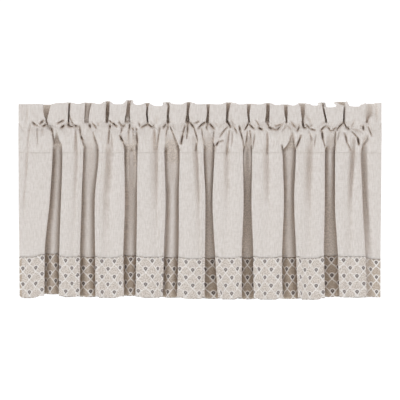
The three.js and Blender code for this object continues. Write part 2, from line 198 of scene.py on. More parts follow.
# Puckers and creases at the gather line and below it: both ends, half width, depth, which side
# is gentler, and how far the middle bows sideways.
PUCKERS = table(
    "top_x top_z foot_x foot_z width depth lean bow",
    (-346.5, 34.5, -340, 29, 1.9, 10, 1), (-339.5, 29, -334.5, 26.5, 1.7, 6, 1),
    (-324.5, 38.5, -332, 31.5, 2, 10.5, -1), (-319, 30, -325.5, 26.5, 2.1, 12, -1),
    (-317.5, 37.5, -313.5, 20.5, 1.4, 8), (-309.5, 25.5, -304.5, 12.5, 2, 11),
    (-304.5, 12.5, -302.5, -10.5, 1.6, 10), (-282.5, 38.5, -295, 32.5, 1.9, 10, -1),
    (-281.5, 27.5, -288, 23, 2, 11, -1), (-273, 31, -271, 25, 2.4, 12),
    (-271, 25.5, -263.5, 25.5, 1.8, 10.5, 1), (-270, 49.5, -262.5, 30, 1.4, 6, 0, 0.5),
    (-258.5, 28, -253.5, 26, 2, 11, 1), (-250, 26, -246.5, 6, 1.6, 8),
    (-246.5, 6, -243.5, -3, 2.2, 12), (-243.5, -3, -240.5, -16.5, 1.6, 9),
    (-256, 23, -258, -20.5, 2.4, 4.5), (-229, 30, -227, 23.5, 2, 11),
    (-222, 33.5, -214, 22.5, 1.5, 7.5, 1), (-211, 33, -210.5, 28, 1.7, 4.5),
    (-186, 28.5, -186.5, 22.5, 2.1, 12), (-186.5, 23, -190, -8.5, 1.4, 6),
    (-188, 39, -180.5, 32.5, 1.4, 7.5, 1), (-181, 34, -172.5, 26.5, 2, 11, 1),
    (-167.5, 36.5, -167.5, 31.5, 1.4, 7), (-166, 33.5, -160.5, 25, 1.5, 8, 1),
    (-155, 29.5, -161, 24.5, 1.7, 9, -1), (-161.5, 23, -163.5, 12.5, 1.5, 7),
    (-165.5, 7, -159, -6, 2.1, 12, 0, 0.5), (-159, -6, -157, -18.5, 1.5, 9),
    (-145, 30, -146, 20.5, 1.7, 10.5), (-140.5, 22.5, -136, 18, 1.7, 7.5, 1),
    (-131, 22, -131, 16.5, 1.4, 7), (-131, 12.5, -129, -10.5, 2.2, 12),
    (-129, -10.5, -130, -23, 1.3, 7.5), (-126.5, 32.5, -124.5, 26.5, 1.5, 7.5),
    (-182.5, 10.5, -180.5, -23, 1.3, 4), (-337, 20.5, -336.5, -8.5, 1.4, 4.5),
    (-328.5, 23, -325.5, 10.5, 2.8, 4), (-350, 35, -356.5, -23, 2, 4, 0, 1),
    (-357, -23, -360.5, -85, 2.4, 4.5), (-360.5, -85, -366, -151, 2.8, 3.5),
    (-358, 74.5, -358, 35, 3.2, 3.5), (-367, 72.5, -367, 39.5, 2.8, 2.5),
    (-108, 31.5, -121.5, 23.5, 1.7, 10.5, -1), (-107.5, 30.5, -98.5, 23.5, 1.7, 10.5, 1),
    (-95.5, 29, -97.5, 23, 1.4, 6), (-90, 44.5, -90, 31, 3.5, 4), (-95, 23, -93, -6, 1.4, 4.5),
    (-84, 23, -88.5, -20.5, 1.6, 7), (-70.5, 31, -76.5, 23, 1.7, 10.5, -1),
    (-66, 30, -66.5, 19.5, 1.6, 8), (-62, 25, -56.5, 15.5, 1.3, 7.5),
    (-56.5, 15.5, -48.5, -8.5, 1.3, 7), (-48.5, -8.5, -42, -23, 1.5, 7.5), (-68, 23, -72, -2, 1.5, 6),
    (-31, 27.5, -35.5, 10.5, 1.6, 9), (-35.5, 9.5, -39, -9.5, 2.2, 12.5),
    (-25.5, 27.5, -26, 12.5, 1.9, 10.5), (-26.5, 12.5, -27.5, 1, 1.3, 7),
    (-21.5, 34, -13, 24, 1.8, 11, 1, -0.5), (-2, 36.5, -10.5, 32.5, 2, 8, -1),
    (-12, 21.5, -4.5, -3, 1.4, 8), (-4.5, -3, -8.5, -23, 1.5, 6),
    (11, 35, -3.5, 22, 1.7, 10.5, -1, 1.5), (19, 32, 28.5, 21.5, 1.8, 11, 1, -0.5),
    (13, 28, 13.5, 20.5, 1.6, 7.5), (3.5, 20.5, 6.5, -6, 1.4, 7), (6.5, -6, 9.5, -23, 1.4, 7.5),
    (28.5, 14.5, 27, -8.5, 1.5, 8), (27, -8.5, 31.5, -18.5, 1.9, 11),
    (31.5, -18.5, 28.5, -33, 1.5, 7.5), (30.5, 35, 36.5, 28, 2.4, 4.5, 1),
    (56.5, 24, 41, 4, 1.5, 7.5, 0, 1), (48, -3.5, 38, -6, 1.5, 7.5), (38, -6, 33, -14.5, 2, 11),
    (56, 37.5, 63, 24.5, 1.9, 12), (65, 39.5, 71, 26, 2, 4.5), (70, 25.5, 76.5, 12.5, 1.4, 7),
    (81.5, 25.5, 83, 17, 1.9, 11), (83, 17, 88.5, -2, 1.6, 10), (88.5, -2, 90.5, -18.5, 1.4, 7.5),
    (61, 17.5, 58, -8.5, 1.4, 6), (58, -8.5, 55, -33, 1.7, 4.5), (67.5, 14.5, 65, -14.5, 1.4, 4),
    (100, 31.5, 93, 18.5, 1.5, 10.5), (103, 29.5, 112, 21, 1.8, 11, 1), (98, 15.5, 94, -14.5, 1.4, 7),
    (103.5, 16.5, 107, -8.5, 1.5, 7.5), (113, 8.5, 110, -18.5, 1.4, 6),
    (116.5, 38, 122.5, 27.5, 1.7, 7), (121.5, 23, 129.5, 19, 2.1, 12, 1),
    (139, 32.5, 143.5, 25.5, 1.8, 9, 1), (141.5, 24.5, 149.5, 20.5, 2.4, 12.5, 1),
    (150, 23, 157.5, 18, 1.5, 7.5, 1), (166.5, 25.5, 157.5, 18, 1.8, 9, -1),
    (169, 30, 157, 26.5, 1.9, 8, -1, 0.5), (139.5, 13.5, 140, -31, 2, 4.5),
    (179, 28, 170.5, 16.5, 1.9, 4.5, -1), (182, 27, 189.5, 18, 1.9, 4.5, 1),
    (190, 34.5, 198.5, 23, 1.9, 7.5, 1), (205.5, 25, 201, 15.5, 1.7, 10),
    (190.5, 12.5, 182.5, -11.5, 1.7, 7.5), (182.5, -11.5, 174.5, -23, 1.6, 7),
    (169.5, -12.5, 171, -31, 1.5, 9), (208.5, 7, 198.5, -20, 1.9, 11, 0, -0.5),
    (191.5, 10.5, 197.5, -20.5, 1.5, 8), (213, 33.5, 214, 23, 2.1, 12),
    (214, 23, 219.5, 23, 1.9, 10.5, 1), (220, 29.5, 228, 21, 1.7, 7.5, 1),
    (220, 48.5, 232, 30, 2.7, 4.5, 1, -1), (232, 30, 229, 25, 1.6, 4.5),
    (228.5, 21, 238, 18, 1.7, 8, 1), (225, 15.5, 234.5, -6, 2, 4.5), (239.5, 7, 237, -14.5, 1.4, 4.5),
    (261, 27, 250, 17, 1.7, 10.5, -1, 1), (264, 25.5, 272.5, 15.5, 1.7, 8, 1),
    (281, 24, 272.5, 15.5, 1.7, 8, -1), (252.5, 14.5, 254, 0, 2.1, 12.5),
    (254, 0, 259.5, -18.5, 1.4, 7), (280, 15.5, 280, -23, 1.6, 10.5),
    (296.5, 33, 284, 19, 1.7, 10.5, -1, 1), (298.5, 33, 305, 20, 1.5, 10.5),
    (307, 24, 308, 19, 1.5, 9), (289.5, 17.5, 283, -6, 1.4, 4.5), (299.5, 11.5, 304.5, -8.5, 1.7, 9),
    (304.5, -8.5, 312, -23, 1.6, 7), (315.5, 14.5, 326.5, 2, 1.5, 8),
    (326.5, 3.5, 329, -11, 2.2, 12.5), (319, 38, 315, 25.5, 2.1, 4.5),
    (318.5, 19.5, 333, 14.5, 2.7, 4, 1), (337.5, 26.5, 338.5, 19, 1.7, 11),
    (348, 24.5, 355, 7, 1.4, 7.5), (345, 9.5, 334.5, -20.5, 2.8, 6),
    (-221, 14, -210.5, -18, 1.7, 8.5), (366, 76, 366, 34, 4, 5), (333.5, -20.5, 335, -62, 1.6, 6),
    (-95, 27, -93, -20, 3.2, 4.5), (-66, 39, -66.5, 26, 2.6, 6), (-25.5, 38, -26, 25, 2.8, 7),
    (15.5, 37, 15, 25, 2.6, 7), (-147, 24, -149, -8, 1.6, 5), (-139, 24, -136, -8, 1.6, 5),
    (335, -62, 340, -108, 1.8, 5), (340, -108, 348, -160, 2, 3),
)

# On each front of the skirt, how far the middle of the hem hangs below its corners, and how much
# less than the band's height the seam is above it. How far the hem is rounded up at its left end.
HEM_BOWS = (5, 2, 2.8, 2.5, 3, 3, 2.8, 3.5, 0.5, 0.3)
SEAM_DROPS = (-0.6, 1.6, 1.2, 0.6, 1.4, -0.8, -2.2, -1.6, -0.4, 5.4)
HEM_CORNER = 4.5

# The small ripples below the gather line, how much wider than in their table the puckers are and
# how much gentler their one side, and how far from the rod's axis the cloth stays in front of
# it, behind it and on the fronts of the skirt.
SEED = 5
GATHER_RIPPLE = 0.9
PUCKER_WIDTH = 1.15
LEAN = 0.2
ROD_FRONT = -5.4
BEHIND_ROD = 6.6
FRONT_Y = -15

# The print on the band: width of the repeat, height of one row of motifs, the drop of the first
# row below the seam, and the places of that row's motifs on the fronts and in the valleys.
REPEAT = 27.3
ROW = 16.3
FIRST_ROW = 7.2
PRINT_ANCHORS = (
    -354, -328.5, -310, -278.2, -253.6, -228, -203.3, -177.2, -143, -126.7, -99.2, -65,
    -29.6, -1.4, 26.5, 40.4, 66.2, 100, 134.1, 161.7, 191, 203.9, 228.3, 253.8, 274,
    297.7, 325.6, 364.9,
)

# One motif: how far the middle of the bud is above its foot, then the middles of the kite's
# round top, of the bud's dome and of its pale heart, and the radii between which each fades,
# and how far out from its middle a pale line fades.
BUD_HEIGHT = 8
CROWN, CROWN_FADE = 8.0, (6.7, 4.8)
DOME, DOME_FADE = 8.3, (4.1, 2.8)
HEART, HEART_FADE = 8.4, (0.4, 2.2)
LINE_FADE = (2.6, 0.5)

# The spacing of the threads, and of the broken line along the seam of the band.
THREAD = 0.95
DASH = 9.1

# Linear colours of the cloth and of the print, and of the painted shade that darkens and warms them
# inside the folds and tight puckers, where shade falls.
LINEN_PALE = (0.665, 0.578, 0.502)
LINEN_DEEP = (0.565, 0.475, 0.398)
FIELD_PALE = (0.67, 0.567, 0.478)
FIELD_DEEP = (0.445, 0.355, 0.28)
CREAM_PALE = (0.765, 0.687, 0.613)
CREAM_DEEP = (0.60, 0.515, 0.436)
# Painted shade: the colours that the cloth and the print take inside the folds and tight puckers.
CREAM_PAINTED_SHADE = (0.76, 0.675, 0.59)
LINEN_PAINTED_SHADE = (0.74, 0.615, 0.50)
LINEN_PAINTED_SHADE_DEEP = (0.50, 0.405, 0.32)
LINEN_PAINTED_CREASE_SHADE = (0.22, 0.155, 0.115)
FIELD_PAINTED_SHADE_PALE = (0.49, 0.38, 0.285)
FIELD_PAINTED_SHADE_DEEP = (0.345, 0.255, 0.18)
BUD = (0.168, 0.125, 0.103)
BUD_PAINTED_SHADE = (0.075, 0.045, 0.032)
EDGE_DASH = (0.135, 0.097, 0.072)

# The camera's sensor in millimetres, and the floor's level in metres.
SENSOR = 36
FLOOR = -1.5

# The studio's light from straight in front and from all other sides, and the tint of each.
FRONT_LIGHT = 0.65
SIDE_LIGHT = 2.14
FRONT_TINT = (1.02, 1.0, 1.04)
SIDE_TINT = (0.885, 1.0, 1.125)


def curve(knots, values, at):
    """Smooth values between rising knots, with no overshoot. One row of values per knot."""
    knots, values, at = (np.asarray(a, float) for a in (knots, values, at))
    span = np.diff(knots).reshape(-1, *[1] * (values.ndim - 1))
    slope = np.diff(values, axis=0) / span
    product = slope[:-1] * slope[1:]
    total = slope[:-1] + slope[1:]
    tangent = np.empty_like(values)
    tangent[0], tangent[-1] = slope[0], slope[-1]
    rising = product > 0
    tangent[1:-1] = np.where(rising, 2 * product / np.where(rising, total, 1), 0)
    k = np.clip(np.searchsorted(knots, at, side="right") - 1, 0, len(knots) - 2)
    wide = span[k]
    t = np.clip((at - knots[k]) / np.diff(knots)[k], 0, 1).reshape(-1, *[1] * (values.ndim - 1))
    a, b = values[k], values[k + 1]
    bend = (1 - t) * tangent[k] - t * tangent[k + 1]
    return a + (b - a) * t * t * (3 - 2 * t) + wide * t * (1 - t) * bend


def smoothstep(t):
    """A soft step from 0 to 1."""
    t = np.clip(t, 0, 1)
    return t * t * (3 - 2 * t)


def wander(seed, across, down, wide, tall):
    """Smooth random values, about -1 to 1, over points given in millimetres."""
    a, d = (across + 420) / wide, (down + 420) / tall
    grid = np.random.default_rng(seed).uniform(-1, 1, (int(840 / wide) + 3, int(560 / tall) + 3))
    i, j = a.astype(int), d.astype(int)
    s, t = smoothstep(a - i), smoothstep(d - j)
    near = grid[i, j] * (1 - t) + grid[i, j + 1] * t
    far = grid[i + 1, j] * (1 - t) + grid[i + 1, j + 1] * t
    return near * (1 - s) + far * s


# The folds, as one outline in plan at each height.

FOLDS = len(HEADING_FOLDS["top_x"])
IS_VALLEY = np.arange(FOLDS) % 2 == 0


def by_knots(heights, *pairs):
    """Values at some heights from pairs of height and value, given from the top down."""
    knots, values = zip(*pairs)
    return curve(-np.array(knots, float), np.array(values, float), -heights)


def row_of(k, *tables):
    """One row of some tables side by side, by the names of their columns."""
    return SimpleNamespace(**{name: rows[name][k] for rows in tables for name in rows})


def cells(row, names):
    """Some values of a row."""
    return [getattr(row, name) for name in names.split()]


def fold_at(fold, heights):
    """One fold at some heights: a dictionary of arrays."""
    h, half = row_of(fold, HEADING_FOLDS), fold // 2
    x = [*zip((FOLD_TOP, MID_FRILL, 30, 24), cells(h, "top_x mid_x foot_x foot_x"))]
    gap = [*zip((FOLD_TOP, MID_FRILL, LOW_FRILL, 27), cells(h, "top_gap mid_gap foot_gap foot_gap")),
           (SLOT_FOOT, 4)]
    if fold in FLOPPED:
        wide, shift = FLOPPED[fold][2:]
        x[:1] = [(FOLD_TOP, h.top_x + shift), (FLOP, h.top_x + shift), (FLOP_FOOT, h.top_x)]
        gap[:1] = [(FOLD_TOP, wide), (FLOP, wide), (FLOP_FOOT, h.top_gap)]
    loop = [(FOLD_TOP, h.loop), (LOW_FRILL, 0.9 * h.loop), (26, h.foot_gap), (SLOT_FOOT, 4)]
    depth = [(FOLD_TOP, h.depth), (LOW_FRILL, 0.9 * h.depth), (27, 7), (SLOT_FOOT, 0.05)]
    pinch = 0.25 if h.top_gap < NARROW else 0.1
    soft_top = float(h.depth < SHALLOW)
    pleat = [(FOLD_TOP, h.pleat_top), (58, h.pleat_top), (36, h.pleat_foot), (SLOT_FOOT, 0)]
    ridge, split = [*pleat, (HEM, 0)], [(FOLD_TOP, 0), (HEM, 0)]
    if IS_VALLEY[fold]:
        v = row_of(half, VALLEYS, VALLEY_TOPS, RIDGES)
        down = (v.apex_z, ROD_LEVEL, LOW_POCKET, STITCH_LINE, MID_SKIRT, BAND_SEAM, HEM)
        x += zip(down, cells(v, "apex_x rod_x low_x stitch_x middle_x seam_x hem_x"))
        gaps = (2.6, *cells(v, "rod_gap low_gap stitch_gap middle_gap seam_gap hem_gap"))
        gap += zip(down, gaps)
        loop += zip(down, np.add(gaps, (0, 2, 5, 11, *[VALLEY_REACH] * 3)))
        loop.insert(-3, (-52, v.stitch_gap + VALLEY_REACH))
        depths = cells(v, "rod_depth low_depth depth depth hem_depth hem_depth")
        depth += zip(down, (0.05, *depths[:2], 0.8 * depths[2], *depths[3:]))
        depth.insert(-3, (-42, v.depth))
        ridge = [*pleat, (-8, 0), (-26, v.stitch)]
        ridge += zip((-36, -64, -105, -170, -219, HEM), cells(v, "stitch upper middle low seam hem"))
        split[1:1] = [(-8, v.split), (-36, v.split), (-70, v.split_upper), (-120, 0)]
        skew, soft_below = v.at_x, v.soft
    else:
        c, fade = row_of(half, CREASES), CREASE_FADE
        x += zip((c.apex_z, STITCH_LINE, MID_SKIRT, BAND_SEAM, HEM),
                 cells(c, "apex_x stitch_x middle_x low_x low_x"))
        below = fade["height"] < c.apex_z - 2
        height = fade["height"][below]
        strength = np.where(height < LOW_CREASE, c.fading / LEFT_AT_LOW, 1) * fade["depth"][below]
        depth += [(c.apex_z, 0.3), *zip(height, c.depth * strength)]
        gap += [(c.apex_z, 3), *zip(height, c.width * fade["width"][below])]
        loop = gap
        skew, soft_below = c.skew, 1
    soft_pocket = max(soft_below, 0.3)
    lines = {
        "x": x, "gap": gap, "loop": loop, "depth": depth, "ridge": ridge, "split": split,
        "lean": [(FOLD_TOP, h.lean), (26, 0), (HEM, 0)],
        "skew": [(FOLD_TOP, 0), (20, 0), (-10, skew), (HEM, skew)],
        "soft": [(FOLD_TOP, soft_top), (28, soft_top), (21, soft_pocket), (-6, soft_pocket),
                 (-24, soft_below), (HEM, soft_below)],
        "pinch": [(FOLD_TOP, 0.5 * pinch), (60, pinch), (LOW_FRILL, pinch), (26, 0), (HEM, 0)],
    }
    for turn in ("left_turn", "right_turn"):
        lines[turn] = [(FOLD_TOP, getattr(h, turn)), (26, getattr(h, turn)), (20, 1.8), (HEM, 1.8)]
    return {name: by_knots(heights, *pairs) for name, pairs in lines.items()}


# Half of a fold in ten points, from the front to its back: the share of its depth that each has,
# which tells what changes from front to back, and where they lie in a soft trough, as shares of
# its half width and depth. In a fold with walls, how far the first points are out from its mouth
# and back in turn radii, and how much more they are in a turn as wide as a funnel.
BACK_SHARE = np.array([0, 0.01, 0.05, 0.12, 0.32, 0.56, 0.78, 0.94, 0.99, 1])
TROUGH_OUT = np.array([1.55, 1.3, 1.1, 0.92, 0.76, 0.61, 0.46, 0.31, 0.16, 0])
TROUGH_BACK = np.array([0, 0.03, 0.11, 0.24, 0.41, 0.59, 0.76, 0.9, 0.975, 1])
TURN_OUT = ((3, 0), (1.3, 0.6), (0.4, 0.4))
TURN_BACK = ((0, 0), (0.1, 0.4), (0.55, 0.6), (1.4, 0.8))
WALL_SHARE = (0.25, 0.5, 0.76, 0.97)
SPANS = 2 * (len(BACK_SHARE) - 1)
# About how much of a front's width the slot beside it takes.
SLOT_WIDTH = 10


def half_fold(f, side):
    """Distance out from the fold's middle and back from the front, of ten points of half a fold."""
    mouth, belly, depth = f["gap"] / 2, f["loop"] / 2, f["depth"]
    r = np.minimum(f[side + "_turn"], 0.28 * depth)
    funnel = np.clip((f[side + "_turn"] - 1.6) / 1.8, 0, 1)
    throat = mouth * (1 - f["pinch"])
    out = [mouth + (turn + more * funnel) * r for turn, more in TURN_OUT]
    out += [mouth * (1 - 0.4 * f["pinch"]), throat + 0.12 * (belly - mouth),
            throat + 0.6 * (belly - mouth), belly, 0.82 * belly, 0.42 * belly, 0 * belly]
    back = [(turn + more * funnel) * r for turn, more in TURN_BACK]
    wall = back[-1]
    back += [wall + share * (depth - wall) for share in WALL_SHARE]
    hump, dip = 0.72 + 0.28 * f["split"], 1 - 0.6 * f["split"]
    back += [depth * (1 - hump * f["ridge"]), depth * (1 - dip * f["ridge"])]
    out, back = np.array(out), np.array(back)
    soft_out = TROUGH_OUT[:, None] * mouth
    soft_back = TROUGH_BACK[:, None] * depth
    return out + (soft_out - out) * f["soft"], back + (soft_back - back) * f["soft"]


def columns(front_step, fold_samples):
    """The columns of a piece: which fold or front each is on, and where along it, from 0 to SPANS
    in a fold and from 0 to 1 on a front."""
    found = []
    edges = [-SIDE, *HEADING_FOLDS["foot_x"], SIDE]
    samples = np.linspace(0, SPANS, fold_samples)
    for k in range(FOLDS + 1):
        count = max(8, round((edges[k + 1] - edges[k] - SLOT_WIDTH) / front_step))
        start, end = (0 if k == 0 else 1), (count if k == FOLDS else count - 1)
        found += [(0, k, i / count) for i in range(start, end + 1)]
        if k < FOLDS:
            found += [(1, k, t) for t in samples]
    kind, index, along = np.array(found).T
    return SimpleNamespace(fold=kind == 1, index=index.astype(int), along=along)


def outline(cols, heights):
    """x of every column at each height, how far back it is from the fronts, and the share of the
    fold's depth that it has."""
    heights = np.asarray(heights, float)
    px = np.zeros((len(heights), len(cols.along)))
    py = np.zeros_like(px)
    share = np.zeros(len(cols.along))
    full_share = np.concatenate([BACK_SHARE, BACK_SHARE[-2::-1]])
    end_of_last = by_knots(heights, *LEFT_EDGE)
    for k in range(FOLDS + 1):
        start_of_next = by_knots(heights, *RIGHT_EDGE)
        if k < FOLDS:
            f = fold_at(k, heights)
            left_out, left_back = half_fold(f, "left")
            right_out, right_back = half_fold(f, "right")
            full_out = np.concatenate([-left_out, right_out[-2::-1]])
            full_back = np.concatenate([left_back, right_back[-2::-1]])
            nearness = (full_share ** 2)[:, None]
            shape_x = f["x"] + full_out + nearness * (f["lean"] + f["skew"] * f["gap"] / 2)
            start_of_next = shape_x[0]
            on_fold = cols.fold & (cols.index == k)
            along = cols.along[on_fold]
            px[:, on_fold] = curve(range(SPANS + 1), shape_x, along).T
            py[:, on_fold] = curve(range(SPANS + 1), full_back, along).T
            share[on_fold] = curve(range(SPANS + 1), full_share, along)
        on_front = ~cols.fold & (cols.index == k)
        span = (start_of_next - end_of_last)[:, None]
        px[:, on_front] = end_of_last[:, None] + span * cols.along[on_front]
        end_of_last = shape_x[-1]
    return px, py, share


def front_values(cols, values):
    """For each column, a value of the front it is on, or between those of the fronts beside it."""
    values = np.asarray(values, float)
    across = np.where(cols.fold, smoothstep(cols.along / SPANS), 0)
    following = values[np.minimum(cols.index + 1, FOLDS)]
    return values[cols.index] * (1 - across) + following * across


def skirt_values(cols, values):
    """The same from values of the ten fronts of the skirt."""
    return front_values(cols, [values[(k + 1) // 2] for k in range(FOLDS + 1)])


def from_slot(cols):
    """For each column, how far it is from the nearest slot of the heading, in millimetres."""
    edges = np.array([-420, *HEADING_FOLDS["foot_x"], 420])
    width = np.diff(edges)[cols.index] - SLOT_WIDTH
    away = np.minimum(cols.along, 1 - cols.along) * width
    return np.where(cols.fold, 0, away)


def puckered(x, z):
    """How far the cloth is drawn back by the puckers."""
    back = np.zeros_like(x)
    for k in range(len(PUCKERS["bow"])):
        p = row_of(k, PUCKERS)
        run_x, run_z = p.foot_x - p.top_x, p.foot_z - p.top_z
        width = PUCKER_WIDTH * p.width
        length = math.hypot(run_x, run_z)
        reach = length / 2 + 4 * width
        near = np.hypot(x - p.top_x - run_x / 2, z - p.top_z - run_z / 2) < reach
        dx, dz = x[near] - p.top_x, z[near] - p.top_z
        t = (dx * run_x + dz * run_z) / length ** 2
        inside = np.clip(t, 0, 1)
        off = (dx * run_z - dz * run_x) / length - 4 * p.bow * inside * (1 - inside)
        past = abs(t - inside) * length
        fade = np.exp(-(past / width) ** 2) * (0.6 + 0.4 * np.sin(math.pi * inside))
        gentle = 1 + LEAN * p.lean * np.sign(off)
        trough = p.depth * fade * np.exp(-abs(off / (width * gentle)) ** 2.2)
        back[near] = np.maximum(back[near], trough)
    return back


def normals(grid):
    """Unit vectors out of the back of a grid of points."""
    across = np.gradient(grid, axis=1)
    down = np.gradient(grid, axis=0)
    n = np.cross(across, down)
    return n / np.linalg.norm(n, axis=2, keepdims=True)


# The surface of the whole cloth.

FRONT_TOPS = [*HEADING_FOLDS["front_top"], LAST_FRONT_TOP]


def face(cols, heights, rng):
    """The cloth's front surface at nominal heights: its coordinates, each column's share of its
    fold's depth, the nominal heights, and how far back the folds take each point."""
    x, back, share = outline(cols, heights)
    level = np.asarray(heights, float)[:, None] * np.ones_like(x)

    # The top edge, which rises beside each slot.
    away = from_slot(cols)
    loops = HEADING_FOLDS["loop_top"]
    nearest = np.clip(cols.index - (~cols.fold & (cols.along < 0.5)), 0, FOLDS - 1)
    left, right = np.array([FLOPPED.get(k, (RISE, RISE))[:2] for k in range(FOLDS)]).T
    on_left = np.where(cols.fold, cols.along < SPANS / 2, cols.along > 0.5)
    follow = np.where(on_left, left[nearest], right[nearest])
    at_slot = np.where(cols.fold, follow + (1 - follow) * smoothstep(share / 0.12),
                       follow * np.exp(-(away / 4.5) ** 1.4))
    at_slot = np.where(away > 60, 0, at_slot)
    fronts = front_values(cols, FRONT_TOPS)
    top = fronts + (loops[nearest] - fronts) * at_slot - 1.3 * smoothstep((share - 0.3) / 0.3)
    frill = np.clip((level - GATHER_LINE) / (FRILL_TOP - GATHER_LINE), 0, 1.1)
    z = level + (top - FRILL_TOP) * frill ** 2

    # The gather line, which rises there too.
    rise = 8 * np.clip(1 - away / 10.5, 0, 1) ** 1.2 - 2.5 * smoothstep((away - 8) / 8)
    z += rise * np.clip(1 - abs(level - GATHER_LINE) / 30, 0, 1) ** 1.5

    # Front to back: the fronts' plane, less drawn in at mid front, each front a little bowed.
    y = by_knots(heights, *FRONT_PLANE)[:, None] + back
    middle = smoothstep((away - 6) / 9)
    y -= 2.6 * middle * np.exp(-((level - GATHER_LINE) / 3.5) ** 2)
    across = np.where(cols.fold, 0, np.sin(math.pi * cols.along))
    y -= by_knots(heights, *FRONT_BOW)[:, None] * across ** 0.8
    y += front_values(cols, rng.uniform(-0.8, 0.8, FOLDS + 1))
    return x, y, z, share, level, back


def drawn_cloth(cols, heights):
    """The front surface with its puckers and small ripples, each point's share of its fold's
    depth, how far back the fold takes it, and how far back the puckers do."""
    x, y, z, share, level, back = face(cols, heights, np.random.default_rng(SEED))
    shallow = 1 - smoothstep((back - 11) / 7)
    below = smoothstep((level + 34) / 26) * smoothstep((34 - level) / 8)
    above = smoothstep((44 - level) / 16) * smoothstep((level - 24) / 3)
    pleats = wander(SEED + 1, x, z, 3.3, 22) + 0.5 * wander(SEED + 2, x, z, 1.9, 14)
    inside = smoothstep((352 - abs(x)) / 10)
    y += (GATHER_RIPPLE * below * pleats + 0.6 * above * pleats) * shallow * inside
    drawn = puckered(x, z) * shallow
    y += drawn
    before_rod = smoothstep((15 - abs(level)) / 3)
    y -= np.maximum(y - ROD_FRONT, 0) * 0.85 * before_rod * shallow
    y += 0.6 * wander(SEED + 3, x, z, 26, 90)
    z += 0.3 * wander(SEED + 4, x, z, 14, 300)
    return np.stack([x, y, z], axis=2), share, back, drawn


# The meshes.

def every(count, step):
    """Every so many of a row of things, with the last."""
    return np.unique(np.append(np.arange(0, count, step), count - 1))


def widest(values, reach):
    """The largest of each point's neighbours, up to so many rows and columns away."""
    rows, cols = values.shape
    padded = np.pad(values, reach, mode="edge")
    steps = range(2 * reach + 1)
    return np.max([padded[i:i + rows, j:j + cols] for i in steps for j in steps], axis=0)


def behind(grid, drawn, distance, step):
    """The points in some rows and columns of a grid, moved backwards, and those rows and columns.
    Where puckers are drawn in, the points are as far back as the deepest one near them."""
    picked = np.ix_(every(grid.shape[0], step), every(grid.shape[1], step))
    out = normals(grid)
    moved = grid + out * distance
    deepest = widest(grid[..., 1], step)
    facing = abs(out[..., 1]) > 0.6
    limit = np.where(facing, np.minimum(deepest, moved[..., 1] + 1.5), -999)
    limit = np.where(widest(drawn, step) > 0.5, deepest + distance, limit)
    moved[..., 1] = np.maximum(moved[..., 1], limit)
    return moved[picked], picked


def painted_shade_amount(back, drawn, deep):
    """The painted shade, from 0 on the fronts to 1 and more inside deep folds and tight puckers."""
    return np.clip(back / 26, 0, 1) * deep + np.clip(drawn / 10, 0, 1) ** 1.3


def painted_valley_top_shade(cols, share, heights):
    """How much painted shade darkens the cloth where each valley narrows to its top in the pocket."""
    heights = np.asarray(heights, float)[:, None]
    fold = np.minimum(cols.index, FOLDS - 1)
    t = {name: column[fold // 2] for name, column in VALLEY_TOPS.items()}
    below = smoothstep((t["shade_top"] - heights) / 7)
    above = smoothstep((heights - t["shade_foot"]) / 12)
    inside = np.where(cols.fold & IS_VALLEY[fold], smoothstep(share / 0.5), 0)
    return t["shade"] * below * above * inside


def closed_sheet(name, front, back, picked, across, down, painted_shade, node):
    """A closed sheet between a grid of points in millimetres and a coarser one of some of its
    rows and columns, with thread coordinates and the painted shade of each point inside the
    folds and puckers."""
    points = np.concatenate([front.reshape(-1, 3), back.reshape(-1, 3)]) * MM
    numbers = np.arange(len(points))
    split = front.shape[0] * front.shape[1]
    at = numbers[:split].reshape(front.shape[:2])
    behind_at = numbers[split:].reshape(back.shape[:2])
    skins = []
    for a, turn in ((at, 1), (behind_at, -1)):
        quads = np.stack([a[:-1, :-1], a[1:, :-1], a[1:, 1:], a[:-1, 1:]], axis=2)
        skins += quads[..., ::turn].reshape(-1, 4).tolist()
    row_picks, col_picks = picked[0].ravel(), picked[1].ravel()
    rims = []
    for edge, inner, picks, turn in (
        (at[0], behind_at[0], col_picks, 1), (at[-1], behind_at[-1], col_picks, -1),
        (at[:, 0], behind_at[:, 0], row_picks, -1), (at[:, -1], behind_at[:, -1], row_picks, 1),
    ):
        for k in range(len(picks) - 1):
            around = [*edge[picks[k]:picks[k + 1] + 1], inner[k + 1], inner[k]]
            rims.append(around[::turn])
    mesh = bpy.data.meshes.new(name)
    mesh.from_pydata(points, [], skins + rims)
    mesh.polygons.foreach_set("use_smooth", np.arange(len(skins) + len(rims)) < len(skins))

    thread = np.stack([across, down], axis=2)
    thread = np.concatenate([thread.reshape(-1, 2), thread[picked].reshape(-1, 2)])
    corners = np.zeros(len(mesh.loops), int)
    mesh.loops.foreach_get("vertex_index", corners)
    layer = mesh.uv_layers.new(name="Cloth")
    layer.data.foreach_set("uv", thread[corners].astype(np.float32).ravel())
    # The painted shade is kept as a point attribute, 0 on the inner sheet.
    depths = mesh.attributes.new("painted_shade", "FLOAT", "POINT")
    painted_shade = np.concatenate([painted_shade.ravel(), 0 * painted_shade[picked].ravel()])
    depths.data.foreach_set("value", painted_shade.astype(np.float32))
    mesh.update()
    piece = bpy.data.objects.new(name, mesh)
    bpy.context.scene.collection.objects.link(piece)
    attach(piece, "root")
    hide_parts(node)
    return piece


def thread_lines(grid, back, share=1.0):
    """Thread coordinates of a grid: upright threads keep to their places on the fronts and are
    counted on along the walls of the folds; level threads are counted down from the top."""
    return grid[..., 0] + share * back, FRILL_TOP - grid[..., 2]


